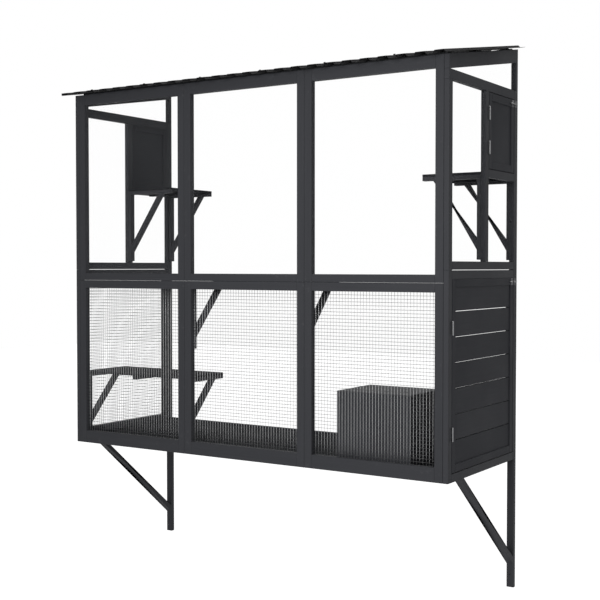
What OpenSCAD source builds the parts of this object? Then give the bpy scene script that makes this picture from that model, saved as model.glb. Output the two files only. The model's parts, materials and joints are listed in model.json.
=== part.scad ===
// Window box catio: a glazed and netted timber box that hangs on the wall
// outside a window, with a sloping ribbed roof, two side doors, cat shelves
// on brackets and a sleeping box. Units are millimetres.
// X runs along the wall, Y runs back to the wall and Z runs up. The origin is
// on the wall plane, in the middle of the four wall screws.

/* [Enclosure] */
// Width of the box along the wall
body_w = 1750; // [1600:10:1900]
// Depth from the front face to the wall
body_d = 616.5; // [590:0.5:660]
// Height of the side frames' flat tops, where the rafters start
side_top = 1430.5; // [1400:0.5:1500]
// Slope of the roof in degrees
roof_pitch = 10.4; // [8:0.1:13]
// Open seam between the lower and the upper frames
seam = 3; // [2:0.5:5]
// Glue line between the end of a rail and its stile
glue = 0.1; // [0.05:0.01:0.2]

/* [Front frames] */
// Thickness of the front frames
front_t = 25; // [22:0.5:28]
// Width of a front stile
front_stile = 32; // [28:1:40]
// Height of the lower front frames
front_low_h = 692; // [670:1:700]
// Height of the bottom rail of a lower front frame
front_low_rail = 52; // [40:1:60]
// Height of the top rail of a lower front frame
front_low_head = 30; // [24:1:36]
// Height of the bottom rail of an upper front frame
front_up_rail = 29; // [24:1:36]
// Height of the top rail of an upper front frame
front_up_head = 44; // [34:1:50]
// Gap between neighbouring front frames
panel_gap = 0.8; // [0.4:0.1:0.9]

/* [Side frames] */
// Thickness of the side frames
side_t = 20; // [18:0.5:24]
// Width of a side stile
side_stile = 28; // [24:1:34]
// Height of the lower side frames
side_low_h = 739; // [720:1:750]
// Height of the top rail of a lower side frame
side_low_head = 28; // [24:1:34]
// Height of the bottom rail under the lower door
door_sill = 30; // [24:1:40]
// Height of the bottom rail under the side net
net_sill = 57; // [40:1:64]
// Height of the bottom rail of an upper side frame
side_up_rail = 31; // [26:1:36]
// Height of the top rail of an upper side frame
side_up_head = 35.5; // [30:0.5:42]
// Distance from the front face to the middle stile
mid_stile_y = 311; // [290:1:330]
// Underside of the cross rail below the upper door
cross_z = 1080; // [1040:1:1100]
// Height of the cross rail
cross_rail = 30; // [24:1:36]
// Depth of a rear post, front to back
post_d = 32; // [28:1:40]

/* [Panes and nets] */
// Thickness of a clear pane
pane_t = 2.5; // [2:0.1:4]
// How far a pane, net or plank runs into its groove
groove_d = 4; // [3:0.5:6]
// Play round a pane, net or plank in its groove
groove_play = 0.15; // [0.1:0.05:0.3]
// Wire pitch of the welded net as modelled, every third wire of the real one
net_pitch = 38.1; // [32:0.1:64]
// Thickness of one wire of the net
net_wire = 1; // [0.8:0.1:1.6]

/* [Doors] */
// Width of a door's stiles and rails
door_stock = 28; // [24:1:34]
// Gap between a door and the frame at the hinges, top and bottom
door_gap = 2.5; // [2:0.1:4]
// Gap between a door's free edge and the rear post
latch_gap = 3.5; // [3:0.1:5]
// Number of planks in the lower door
plank_count = 7; // [5:1:9]
// Open gap between two planks
plank_gap = 2.7; // [2:0.1:5]
// Thickness of the planks and of the solid panels
plank_t = 12; // [9:0.5:14]
// Air left round the fixed panel on the left side
fixed_gap = 0.3; // [0.2:0.1:0.8]

/* [Hinges] */
// Height of a butt hinge
hinge_h = 48; // [40:1:60]
// Width of one hinge leaf, from the pin line outwards
hinge_leaf_w = 13; // [11:0.5:18]
// Thickness of a hinge leaf
leaf_t = 1.2; // [1:0.1:1.6]
// Outer radius of a hinge knuckle
knuckle_r = 2.8; // [2.6:0.1:3.2]
// Radius of the hinge pin
pin_r = 1.5; // [1.2:0.05:1.6]
// Running clearance between pin and knuckle
pin_play = 0.05; // [0.03:0.01:0.1]
// Thickness of the pin's flat head
pin_head_t = 1; // [0.8:0.1:1.5]
// Distance from the knuckle's outside in to the head's rim
pin_head_in = 0.3; // [0.1:0.1:0.6]
// Gap between the head and the uppermost knuckle
pin_head_gap = 0.1; // [0.1:0.1:0.3]
// Gap between two knuckles
knuckle_gap = 0.3; // [0.2:0.05:0.6]
// Air between a knuckle and the face it stands on
knuckle_lift = 0.4; // [0.3:0.05:0.6]
// Height of the lower door's low hinge above the door's bottom edge
low_hinge_up = 135.5; // [100:0.5:180]
// Depth of the lower door's high hinge below the door's top edge
high_hinge_down = 171; // [150:0.5:230]
// Distance of the upper door's hinges from its top and bottom edges
upper_hinge_in = 77; // [60:1:90]

/* [Barrel bolts] */
// Length of a bolt's plate along the rod
bolt_plate_l = 26; // [24:0.5:28]
// Height of a bolt's plate
bolt_plate_h = 26; // [20:1:28]
// Thickness of the bolt plates and keepers
plate_t = 1.2; // [1:0.1:2]
// Distance from the door's free edge to the plate
bolt_set_back = 2; // [1:0.5:3]
// Length of one guide on the plate
guide_l = 4; // [3:0.5:5]
// Outer radius of a guide
guide_r = 4.5; // [4:0.1:6]
// Radius of the sliding rod
rod_r = 2.5; // [2:0.1:3]
// Running clearance between the rod and its guides
rod_play = 0.08; // [0.05:0.01:0.1]
// Radius of the rod's knob
knob_r = 2; // [1.5:0.1:2.5]
// Height of the knob above the rod's axis
knob_h = 10; // [8:0.5:14]
// Length of a keeper along the rod
keeper_l = 18; // [14:0.5:22]
// Length of the keeper's bridge over the rod
bridge_l = 9; // [7:0.5:12]
// Distance from the post's front edge to the keeper
keeper_set_back = 2; // [1:0.5:4]
// Clearance of the rod in the keeper
keeper_play = 0.6; // [0.4:0.1:1]

/* [Shelves] */
// Thickness of a shelf board
board_t = 10; // [8:0.5:14]
// Height of the battens and bracket arms
stock_h = 15; // [12:0.5:20]
// Width of the battens and bracket parts
stock_w = 24; // [16:1:26]
// Thickness of a bracket's slanted strut
strut_t = 17; // [14:0.5:20]
// Depth of the front shelves, back from the front frames
front_shelf_d = 246; // [220:1:300]
// Top of the lower left shelf
lower_shelf_z = 306; // [290:1:360]
// Width of the lower left shelf
lower_shelf_w = 552; // [480:1:560]
// Distance from the left side frame to the lower left shelf
lower_shelf_in = 8.5; // [0.5:0.5:12]
// Top of the middle shelf
middle_shelf_z = 692; // [640:1:740]
// Width of the middle shelf
middle_shelf_w = 554; // [540:1:600]
// Distance from the middle frame's left edge to the middle shelf
middle_shelf_in = 7; // [2:1:12]
// Top of the two upper shelves
upper_shelf_z = 1100; // [1050:1:1104]
// Reach of an upper shelf from the side frame
upper_shelf_l = 238; // [200:1:280]
// Width of an upper shelf along the side
upper_shelf_w = 305; // [270:1:305]
// Distance from the front face to the upper shelves
upper_shelf_y = 311; // [296:1:311]
// Length of the leg of a bracket under the middle shelf
front_leg = 245; // [230:1:300]
// Where a front bracket's strut meets the arm, from the leg
front_strut = 178; // [160:1:220]
// Angle of a front bracket's strut in degrees
front_strut_a = 48; // [40:0.1:50]
// Length of the leg of a side bracket
side_leg = 298; // [280:1:300]
// Where a side bracket's strut meets the arm, from the leg
side_strut = 179; // [130:1:180]
// Angle of a side bracket's strut in degrees
side_strut_a = 55.2; // [50:0.1:59]

/* [Sleeping box] */
// Width of the sleeping box
box_w = 305; // [270:1:340]
// Depth of the sleeping box
box_d = 248; // [220:1:280]
// Height of the sleeping box
box_h = 265; // [240:1:300]
// Thickness of the sleeping box's panels
box_t = 10; // [8:0.5:14]
// Distance from the right side frame to the sleeping box
box_in = 137; // [80:1:180]
// Gap between the front frames and the sleeping box
box_back = 0.5; // [0.3:0.1:0.9]
// Diameter of the round entrance
entry_d = 160; // [140:1:180]
// Height of the entrance's centre above the floor
entry_z = 120; // [110:1:140]

/* [Floor] */
// Thickness of the floor boards
floor_t = 12; // [10:0.5:18]
// Height of the joists under the floor
joist_h = 18; // [14:0.5:24]
// Width of a joist
joist_w = 28; // [24:1:40]
// Number of floor boards
floor_count = 6; // [4:1:8]
// Gap between two floor boards
floor_gap = 2; // [1:0.5:4]
// Height of the rear bottom rail
rear_rail_h = 36; // [32:1:50]
// Depth of the rear bottom rail and of the gable uprights
rear_rail_d = 20; // [18:1:26]

/* [Legs] */
// Length of a leg below the box
leg_l = 505; // [480:1:560]
// Width of a leg and of its brace
leg_w = 28; // [26:1:36]
// Depth of a leg, front to back
leg_d = 20; // [18:1:26]
// Front end of a brace's upper edge, from the front face
brace_y = 135; // [110:1:180]
// Angle of a brace in degrees
brace_a = 39.8; // [36:0.1:42]
// Thickness of a brace
brace_t = 20; // [16:1:26]

/* [Roof] */
// Height of a rafter above the side frame's top at the front
rafter_h = 50; // [40:0.5:55]
// Length of the rafter's flat seat at the front
rafter_seat = 9; // [6:0.5:14]
// Distance from the front face to the front edge of a gable's pane
gable_nose = 45; // [40:1:60]
// Overhang of the roof sheet past the side frames
verge = 30; // [15:1:35]
// Overhang of the roof sheet past the front face
eave = 50; // [35:1:70]
// Thickness of the roof sheet
sheet_t = 1; // [0.8:0.1:1.5]
// Height of the battens and the sheet above the rafters
sheet_lift = 5; // [3:0.5:9]
// Height of a rib of the roof sheet
rib_h = 9; // [6:0.5:20]
// Pitch of the ribs
rib_pitch = 72.9; // [70:0.1:80]
// Width of a rib at its top
rib_top = 34; // [18:1:40]
// Width of a rib at its foot
rib_foot = 48; // [42:1:56]
// Distance from the sheet's left edge to the middle of its first rib
rib_start = 15.5; // [12:0.5:40]
// Width of a roof batten along the slope
batten_w = 28; // [24:1:36]
// Thickness of a roof batten
batten_t = 20; // [16:1:26]
// Distance of the rear batten from the back edge
batten_back = 6; // [5:0.5:12]
// Distance of the middle batten from the back edge
batten_mid = 310; // [280:1:330]
// Gap between the front frames and the front batten
batten_fore = 3; // [1:0.5:10]
// A roof screw stands on every this many ribs
screw_every = 4; // [3:1:6]
// Radius of a roof screw's shank
screw_r = 2.2; // [1.8:0.1:2.5]
// Radius of a roof screw's washer
washer_r = 6; // [5:0.5:8]
// Thickness of a roof screw's washer
washer_t = 1.5; // [1:0.1:2]
// Height of a roof screw's six-sided head
screw_head = 3.5; // [3:0.1:5]
// Width across the corners of the six-sided head
screw_hex = 9; // [8:0.5:10]
// Depth that a roof screw goes into its batten
screw_bite = 12; // [8:0.5:15]
// How much deeper its pilot hole is
pilot_extra = 1; // [0.5:0.5:4]
// Play of a roof screw in its pilot hole
pilot_play = 0.05; // [0.02:0.01:0.1]
// Play of a roof screw in the sheet's hole
sheet_hole_play = 0.3; // [0.2:0.1:0.5]

/* [Wall fixing] */
// Diameter of the wall screw holes
wall_hole_d = 4.5; // [4:0.1:5]
// Height of the upper wall screws above the underside of the box
wall_screw_up = 925; // [800:5:1050]
// Depth of the lower wall screws below the underside of the box
wall_screw_down = 455; // [430:5:470]
// Distance from the box's side to the wall screws
wall_screw_in = 14; // [13.8:0.1:15]

/* [Hidden] */
$fn = 48;

// Heights
side_up_z = side_low_h + glue;
side_bay_z = side_up_z + side_up_rail;
side_bay_top = side_top - side_up_head;
front_up_z = front_low_h + seam;
roof_z = side_top + rafter_h;
roof_rise = tan(roof_pitch);
floor_z = joist_h + floor_t;

// Number of frames side by side along the front
front_count = 3;

// Thickness of the net where its two layers of wires cross
net_t = 2 * net_wire + glue;

// How far a cut runs past the faces that it opens
past = 1;

// Depths
post_y = body_d - post_d;
rail_y = body_d - rear_rail_d;
bay_y = mid_stile_y + side_stile;

// Widths
side_x = body_w - side_t;
inner_w = body_w - 2 * side_t;
panel_w = (inner_w - (front_count + 1) * panel_gap) / front_count;
pane_w = panel_w - 2 * front_stile;

// Doors: [front edge, rear edge, bottom edge, top edge]
lower_door = [side_stile + door_gap, post_y - latch_gap,
              door_sill + door_gap, side_low_h - side_low_head - door_gap];
upper_door = [bay_y + door_gap, post_y - latch_gap,
              cross_z + cross_rail + door_gap, side_bay_top - door_gap];
fixed_panel = [bay_y + fixed_gap, post_y - fixed_gap,
               cross_z + cross_rail + fixed_gap, side_bay_top - fixed_gap];

// Hinges: pin line at the middle of the hinge gap, proud of the face
pin_x = body_w + knuckle_r + knuckle_lift;
lower_pin_y = side_stile + door_gap / 2;
upper_pin_y = bay_y + door_gap / 2;
knuckles = 5;
knuckle_l = (hinge_h - (knuckles - 1) * knuckle_gap) / knuckles;
lower_hinge_z = [lower_door[2] + low_hinge_up, lower_door[3] - high_hinge_down];
upper_hinge_z = [upper_door[2] + upper_hinge_in, upper_door[3] - upper_hinge_in];

// Bolts: the rod lies on the middle of the top rail's end, and its throw is
// what the knob has between the guides
rod_x = body_w + guide_r;
knob_gap = 0.5;
rod_throw = bolt_plate_l - 2 * guide_l - 2 * knob_r - 2 * knob_gap;
bolt_y0 = post_y - latch_gap - bolt_set_back - bolt_plate_l;
keeper_y0 = post_y + keeper_set_back;
lower_bolt_z = lower_door[3] - door_stock / 2;
upper_bolt_z = upper_door[3] - door_stock / 2;

// Shelves
lower_shelf_x = side_t + lower_shelf_in;
lower_leg = lower_shelf_z - board_t - stock_h - floor_z - fixed_gap;
middle_shelf_x = panel_x(1) + middle_shelf_in;
sleep_x = side_x - box_in - box_w;
sleep_y = front_t + box_back;

// Roof sheet
sheet_w = body_w + 2 * verge;
sheet_l = (body_d + eave) / cos(roof_pitch);
rib_n = floor((sheet_w - rib_start - rib_foot / 2 - 4 * sheet_t) / rib_pitch) + 1;

// Distances of the battens from the back edge, down the slope
batten_front = (body_d - front_t - batten_fore - sheet_lift * sin(roof_pitch))
    / cos(roof_pitch) - batten_w;
battens = [batten_back, batten_mid, batten_front];

// Left edge of front frame i, counted from the left
function panel_x(i) = side_t + panel_gap + i * (panel_w + panel_gap);

// Underside and top of a rafter at a depth y
function rafter_z(y) = side_top + max(0, y - rafter_seat) * roof_rise;
function roof_at(y) = roof_z + y * roof_rise;

// Moves the box, drawn from its front left bottom corner, to the wall origin
module place() {
    translate([-body_w / 2, -body_d, (wall_screw_down - wall_screw_up) / 2]) children();
}

// The same, mirrored to the left side
module place_left() {
    place() translate([body_w, 0, 0]) mirror([1, 0, 0]) children();
}

// A straight bar from corner a to corner b
module bar(a, b) {
    translate(a) cube(b - a);
}

// A flat piece with its outline in depth and height, t thick along X from x
module slab(x, t, points) {
    translate([x, 0, 0]) rotate([90, 0, 90]) linear_extrude(t) polygon(points);
}

// Moves to the back edge of the roof, on top of the battens, with Z square to
// the slope, X along the wall and Y up the slope
module on_roof() {
    translate([0, body_d, roof_at(body_d)]) rotate([roof_pitch, 0, 0])
        translate([0, 0, sheet_lift]) children();
}

// ---- Panes and nets ------------------------------------------------------

// Pane of upper front frame i, grown all round by g for its groove
module front_pane(i, g) {
    x0 = panel_x(i) + front_stile - groove_d;
    x1 = panel_x(i) + panel_w - front_stile + groove_d;
    z0 = front_up_z + front_up_rail - groove_d;
    z1 = roof_z - glue - front_up_head + groove_d;
    y0 = (front_t - pane_t) / 2;
    bar([x0 - g, y0 - g, z0 - g], [x1 + g, y0 + pane_t + g, z1 + g]);
}

// Space of the net of lower front frame i, grown by g
module front_net_space(i, g) {
    x0 = panel_x(i) + front_stile - groove_d;
    x1 = panel_x(i) + panel_w - front_stile + groove_d;
    z0 = front_low_rail - groove_d;
    z1 = front_low_h - front_low_head + groove_d;
    y0 = (front_t - net_t) / 2;
    bar([x0 - g, y0 - g, z0 - g], [x1 + g, y0 + net_t + g, z1 + g]);
}

// Space of the net in the left side's lower frame, drawn on the right
module side_net_space(g) {
    x0 = side_x + (side_t - net_t) / 2;
    y0 = side_stile - groove_d;
    y1 = post_y + groove_d;
    z0 = net_sill - groove_d;
    z1 = side_low_h - side_low_head + groove_d;
    bar([x0 - g, y0 - g, z0 - g], [x0 + net_t + g, y1 + g, z1 + g]);
}

// The three panes of an upper side frame, grown by g: the front bay, the bay
// under the door and the gable above the top rail
module side_panes(g) {
    x0 = side_x + (side_t - pane_t) / 2;
    x1 = x0 + pane_t;
    bay = groove_d + g;
    bar([x0 - g, side_stile - bay, side_bay_z - bay],
        [x1 + g, mid_stile_y + bay, side_bay_top + bay]);
    bar([x0 - g, bay_y - bay, side_bay_z - bay],
        [x1 + g, post_y + bay, cross_z + bay]);
    slab(x0 - g, pane_t + 2 * g, [
        [gable_nose - g, side_top - bay],
        [rail_y + bay, side_top - bay],
        [rail_y + bay, rafter_z(rail_y + bay) + bay],
        [gable_nose - g, rafter_z(gable_nose - g) + bay]
    ]);
}

// A flat welded net, w wide and h high: the upright wires lie on the plane,
// and the level wires cross on top of them
module net(w, h) {
    nx = floor((w - net_wire) / net_pitch);
    nz = floor((h - net_wire) / net_pitch);
    mx = (w - nx * net_pitch - net_wire) / 2;
    mz = (h - nz * net_pitch - net_wire) / 2;
    for (i = [0:nx])
        translate([mx + i * net_pitch, 0, 0]) cube([net_wire, h, net_wire]);
    for (i = [0:nz])
        translate([0, mz + i * net_pitch, net_wire + glue]) cube([w, net_wire, net_wire]);
}

// Net of lower front frame i
module front_net(i) {
    color("silver") place()
        translate([panel_x(i) + front_stile - groove_d, (front_t + net_t) / 2,
                   front_low_rail - groove_d])
            rotate([90, 0, 0])
                net(pane_w + 2 * groove_d,
                    front_low_h - front_low_head - front_low_rail + 2 * groove_d);
}

module front_net_left() {
    front_net(0);
}

module front_net_middle() {
    front_net(1);
}

module front_net_right() {
    front_net(2);
}

module side_net() {
    color("silver") place_left()
        translate([side_x + (side_t - net_t) / 2, side_stile - groove_d, net_sill - groove_d])
            rotate([90, 0, 90])
                net(post_y - side_stile + 2 * groove_d,
                    side_low_h - side_low_head - net_sill + 2 * groove_d);
}

module front_window_left() {
    color([0.85, 0.9, 0.93, 0.3]) place() front_pane(0, 0);
}

module front_window_middle() {
    color([0.85, 0.9, 0.93, 0.3]) place() front_pane(1, 0);
}

module front_window_right() {
    color([0.85, 0.9, 0.93, 0.3]) place() front_pane(2, 0);
}

module left_side_windows() {
    color([0.85, 0.9, 0.93, 0.3]) place_left() side_panes(0);
}

module right_side_windows() {
    color([0.85, 0.9, 0.93, 0.3]) place() side_panes(0);
}

// ---- Front frames --------------------------------------------------------

// The four bars of front frame i between z0 and z1, with rails of the given
// heights between two full stiles
module front_bars(i, z0, z1, low, head) {
    x0 = panel_x(i);
    x1 = x0 + panel_w;
    bar([x0, 0, z0], [x0 + front_stile, front_t, z1]);
    bar([x1 - front_stile, 0, z0], [x1, front_t, z1]);
    bar([x0 + front_stile + glue, 0, z0], [x1 - front_stile - glue, front_t, z0 + low]);
    bar([x0 + front_stile + glue, 0, z1 - head], [x1 - front_stile - glue, front_t, z1]);
}

module front_upper(i) {
    color("#36373a") place() difference() {
        front_bars(i, front_up_z, roof_z - glue, front_up_rail, front_up_head);
        front_pane(i, groove_play);
    }
}

module front_lower(i) {
    color("#36373a") place() difference() {
        front_bars(i, 0, front_low_h, front_low_rail, front_low_head);
        front_net_space(i, groove_play);
    }
}

module front_upper_frame_left() {
    front_upper(0);
}

module front_upper_frame_middle() {
    front_upper(1);
}

module front_upper_frame_right() {
    front_upper(2);
}

module front_lower_frame_left() {
    front_lower(0);
}

module front_lower_frame_middle() {
    front_lower(1);
}

module front_lower_frame_right() {
    front_lower(2);
}

// ---- Side frames ---------------------------------------------------------

// Upper side frame: front stile, middle stile, bottom, top and cross rails
module side_upper() {
    difference() {
        union() {
            bar([side_x, 0, side_up_z], [body_w, side_stile, side_bay_top - glue]);
            bar([side_x, side_stile + glue, side_up_z], [body_w, post_y - glue, side_bay_z]);
            bar([side_x, 0, side_bay_top], [body_w, post_y - glue, side_top]);
            bar([side_x, mid_stile_y, side_bay_z + glue], [body_w, bay_y, side_bay_top - glue]);
            bar([side_x, bay_y + glue, cross_z], [body_w, post_y - glue, cross_z + cross_rail]);
        }
        side_panes(groove_play);
    }
}

// Lower side frame with a bottom rail of the given height
module side_lower(low) {
    head_z = side_low_h - side_low_head;
    bar([side_x, 0, 0], [body_w, side_stile, side_low_h]);
    bar([side_x, side_stile + glue, 0], [body_w, post_y - glue, low]);
    bar([side_x, side_stile + glue, head_z], [body_w, post_y - glue, side_low_h]);
}

module left_upper_frame() {
    color("#36373a") place_left() side_upper();
}

module right_upper_frame() {
    color("#36373a") place() side_upper();
}

module left_lower_frame() {
    color("#36373a") place_left() difference() {
        side_lower(net_sill);
        side_net_space(groove_play);
    }
}

module right_lower_frame() {
    color("#36373a") place() side_lower(door_sill);
}

// Hole for a wall screw through the rear timber at height z
module wall_hole(z) {
    translate([body_w - wall_screw_in, body_d + past, z])
        rotate([90, 0, 0]) cylinder(h = post_d + 2 * past, d = wall_hole_d);
}

// Rear post of one side, as high as both side frames
module rear_post() {
    difference() {
        bar([side_x, post_y, 0], [body_w, body_d, side_top]);
        side_panes(groove_play);
        wall_hole(wall_screw_up);
        children();
    }
}

module rear_posts() {
    color("#3c3d40") {
        place() rear_post();
        place_left() rear_post() side_net_space(groove_play);
    }
}

// Rafter on top of the side frame, and the upright that carries its rear end
module rafter() {
    difference() {
        union() {
            slab(side_x, side_t, [
                [0, side_top],
                [rafter_seat, side_top],
                [body_d, rafter_z(body_d)],
                [body_d, roof_at(body_d)],
                [0, roof_z]
            ]);
            slab(side_x, side_t, [
                [rail_y, side_top],
                [body_d, side_top],
                [body_d, rafter_z(body_d) - glue],
                [rail_y, rafter_z(rail_y) - glue]
            ]);
        }
        side_panes(groove_play);
    }
}

module left_rafter() {
    color("#36373a") place_left() rafter();
}

module right_rafter() {
    color("#36373a") place() rafter();
}

// ---- Doors and the fixed panel -------------------------------------------

// Space of the panel inside a frame with the outline d, grown by g
module panel_space(d, g) {
    x0 = side_x + (side_t - plank_t) / 2;
    in = door_stock - groove_d;
    bar([x0 - g, d[0] + in - g, d[2] + in - g],
        [x0 + plank_t + g, d[1] - in + g, d[3] - in + g]);
}

// Four bars round the outline d, grooved for the panel
module door_bars(d) {
    in = door_stock + glue;
    difference() {
        union() {
            bar([side_x, d[0], d[2]], [body_w, d[0] + door_stock, d[3]]);
            bar([side_x, d[1] - door_stock, d[2]], [body_w, d[1], d[3]]);
            bar([side_x, d[0] + in, d[2]], [body_w, d[1] - in, d[2] + door_stock]);
            bar([side_x, d[0] + in, d[3] - door_stock], [body_w, d[1] - in, d[3]]);
        }
        panel_space(d, groove_play);
    }
}

module lower_door_frame() {
    color("#343538") place() door_bars(lower_door);
}

// Level planks with open gaps, in the lower door's groove
module lower_door_planks() {
    d = lower_door;
    in = door_stock - groove_d;
    x0 = side_x + (side_t - plank_t) / 2;
    space = d[3] - d[2] - 2 * in;
    plank_h = (space - (plank_count - 1) * plank_gap) / plank_count;
    color("#323336") place()
        for (i = [0:plank_count - 1])
            translate([x0, d[0] + in, d[2] + in + i * (plank_h + plank_gap)])
                cube([plank_t, d[1] - d[0] - 2 * in, plank_h]);
}

module upper_door_frame() {
    color("#343538") place() door_bars(upper_door);
}

module upper_door_panel() {
    color("#323336") place() panel_space(upper_door, 0);
}

module left_side_panel() {
    color("#343538") place_left() {
        door_bars(fixed_panel);
        panel_space(fixed_panel, 0);
    }
}

// ---- Hinges --------------------------------------------------------------

// One leaf of a hinge round the pin line y at height z. side is -1 for the
// frame's leaf and 1 for the door's. first is its first knuckle.
module hinge_leaf(y, z, side, first) {
    bore = pin_r + pin_play;
    relief = knuckle_r + knuckle_gap;
    reach = y + side * hinge_leaf_w;
    back = y + side * relief;
    z0 = z - hinge_h / 2;
    step = knuckle_l + knuckle_gap;
    difference() {
        union() {
            bar([body_w, min(reach, back), z0],
                [body_w + leaf_t, max(reach, back), z0 + hinge_h]);
            for (k = [first:2:knuckles - 1]) {
                bar([body_w, min(y, reach), z0 + k * step],
                    [body_w + leaf_t, max(y, reach), z0 + k * step + knuckle_l]);
                translate([pin_x, y, z0 + k * step]) cylinder(h = knuckle_l, r = knuckle_r);
            }
        }
        translate([pin_x, y, z0 - past]) cylinder(h = hinge_h + 2 * past, r = bore);
    }
}

module hinge_fixed_leaves() {
    color("silver") place() {
        for (z = lower_hinge_z) hinge_leaf(lower_pin_y, z, -1, 0);
        for (z = upper_hinge_z) hinge_leaf(upper_pin_y, z, -1, 0);
    }
}

module lower_hinge_leaves() {
    color("silver") place()
        for (z = lower_hinge_z) hinge_leaf(lower_pin_y, z, 1, 1);
}

module upper_hinge_leaves() {
    color("silver") place()
        for (z = upper_hinge_z) hinge_leaf(upper_pin_y, z, 1, 1);
}

// Pin with a flat head on top of the uppermost knuckle
module hinge_pin(y, z) {
    translate([pin_x, y, z - hinge_h / 2]) {
        cylinder(h = hinge_h + pin_head_gap, r = pin_r);
        translate([0, 0, hinge_h + pin_head_gap])
            cylinder(h = pin_head_t, r = knuckle_r - pin_head_in);
    }
}

module hinge_pins() {
    color("silver") place() {
        for (z = lower_hinge_z) hinge_pin(lower_pin_y, z);
        for (z = upper_hinge_z) hinge_pin(upper_pin_y, z);
    }
}

// ---- Barrel bolts --------------------------------------------------------

// Tube along Y on a flat foot, from y0, l long, with a bore of radius r
module guide(y0, l, z, r) {
    difference() {
        union() {
            translate([rod_x, y0, z]) rotate([-90, 0, 0]) cylinder(h = l, r = guide_r);
            bar([body_w, y0, z - guide_r], [rod_x, y0 + l, z + guide_r]);
        }
        translate([rod_x, y0 - past, z]) rotate([-90, 0, 0]) cylinder(h = l + 2 * past, r = r);
    }
}

// Plate with a guide at each end
module bolt_plate(z) {
    bar([body_w, bolt_y0, z - bolt_plate_h / 2],
        [body_w + plate_t, bolt_y0 + bolt_plate_l, z + bolt_plate_h / 2]);
    guide(bolt_y0, guide_l, z, rod_r + rod_play);
    guide(bolt_y0 + bolt_plate_l - guide_l, guide_l, z, rod_r + rod_play);
}

// Rod with its knob, drawn back so that its tip is level with the plate. It
// is as long as the plate and its throw, so both guides always hold it.
module bolt_rod(z) {
    translate([rod_x, bolt_y0 + knob_gap - rod_throw, z])
        rotate([-90, 0, 0]) cylinder(h = bolt_plate_l + rod_throw, r = rod_r);
    translate([rod_x, bolt_y0 + guide_l + knob_gap + knob_r, z])
        rotate([0, 90, 0]) cylinder(h = knob_h, r = knob_r);
}

// Plate on the rear post, with a folded bridge that the rod slides under
module bolt_keeper(z) {
    half = rod_r + keeper_play;
    wall = half + plate_t;
    difference() {
        union() {
            bar([body_w, keeper_y0, z - bolt_plate_h / 2],
                [body_w + plate_t, keeper_y0 + keeper_l, z + bolt_plate_h / 2]);
            bar([body_w, keeper_y0, z - wall], [rod_x + wall, keeper_y0 + bridge_l, z + wall]);
        }
        bar([body_w + plate_t, keeper_y0 - past, z - half],
            [rod_x + half, keeper_y0 + bridge_l + past, z + half]);
    }
}

module lower_bolt_plate() {
    color("silver") place() bolt_plate(lower_bolt_z);
}

module upper_bolt_plate() {
    color("silver") place() bolt_plate(upper_bolt_z);
}

module lower_bolt_rod() {
    color("silver") place() bolt_rod(lower_bolt_z);
}

module upper_bolt_rod() {
    color("silver") place() bolt_rod(upper_bolt_z);
}

module bolt_keepers() {
    color("silver") place() {
        bolt_keeper(lower_bolt_z);
        bolt_keeper(upper_bolt_z);
    }
}

// ---- Shelves -------------------------------------------------------------

// Bracket from its corner under the board: the arm runs along +X, the leg
// hangs down and the strut joins them at the angle a
module bracket(arm, leg, strut, a) {
    run = strut - strut_t / sin(a);
    rotate([90, 0, 0]) linear_extrude(stock_w) {
        translate([0, -stock_h]) square([arm, stock_h]);
        translate([0, -stock_h - leg]) square([stock_h, leg - glue]);
        polygon([
            [stock_h + glue, -stock_h - glue - strut * tan(a)],
            [stock_h + strut, -stock_h - glue],
            [stock_h + run, -stock_h - glue],
            [stock_h + glue, -stock_h - glue - run * tan(a)]
        ]);
    }
}

// Brackets on the backs of the front frames, under both ends of a shelf that
// starts at x, is w wide and has its top at z
module front_brackets(x, w, z, leg) {
    for (at = [x, x + w - stock_w])
        translate([at, front_t, z - board_t]) rotate([0, 0, 90])
            bracket(front_shelf_d, leg, front_strut, front_strut_a);
}

// Front shelf: the board and the batten under its middle
module front_shelf(x, w, z) {
    mid = x + (w - stock_w) / 2;
    bar([x, front_t, z - board_t + glue], [x + w, front_t + front_shelf_d, z]);
    bar([mid, front_t, z - board_t - stock_h], [mid + stock_w, front_t + front_shelf_d, z - board_t]);
}

// Upper shelf on the right side: the board and its batten
module upper_shelf() {
    z = upper_shelf_z - board_t;
    mid = upper_shelf_y + (upper_shelf_w - stock_w) / 2;
    bar([side_x - upper_shelf_l, upper_shelf_y, z + glue],
        [side_x, upper_shelf_y + upper_shelf_w, upper_shelf_z]);
    bar([side_x - upper_shelf_l, mid, z - stock_h], [side_x, mid + stock_w, z]);
}

// Pair of brackets under the ends of the upper shelf
module upper_brackets() {
    far = upper_shelf_y + upper_shelf_w - stock_w;
    for (y = [upper_shelf_y, far])
        translate([side_x, y, upper_shelf_z - board_t]) rotate([0, 0, 180])
            bracket(upper_shelf_l, side_leg, side_strut, side_strut_a);
}

module lower_left_shelf() {
    color("#303134") place() front_shelf(lower_shelf_x, lower_shelf_w, lower_shelf_z);
}

module middle_shelf() {
    color("#303134") place() front_shelf(middle_shelf_x, middle_shelf_w, middle_shelf_z);
}

module upper_left_shelf() {
    color("#303134") place_left() upper_shelf();
}

module upper_right_shelf() {
    color("#303134") place() upper_shelf();
}

module lower_left_brackets() {
    color("#343538") place()
        front_brackets(lower_shelf_x, lower_shelf_w, lower_shelf_z, lower_leg);
}

module middle_brackets() {
    color("#343538") place()
        front_brackets(middle_shelf_x, middle_shelf_w, middle_shelf_z, front_leg);
}

module upper_left_brackets() {
    color("#343538") place_left() upper_brackets();
}

module upper_right_brackets() {
    color("#343538") place() upper_brackets();
}

// ---- Sleeping box --------------------------------------------------------

// Corner of the sleeping box on the floor
module on_sleep() {
    place() translate([sleep_x, sleep_y, floor_z]) children();
}

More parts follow.
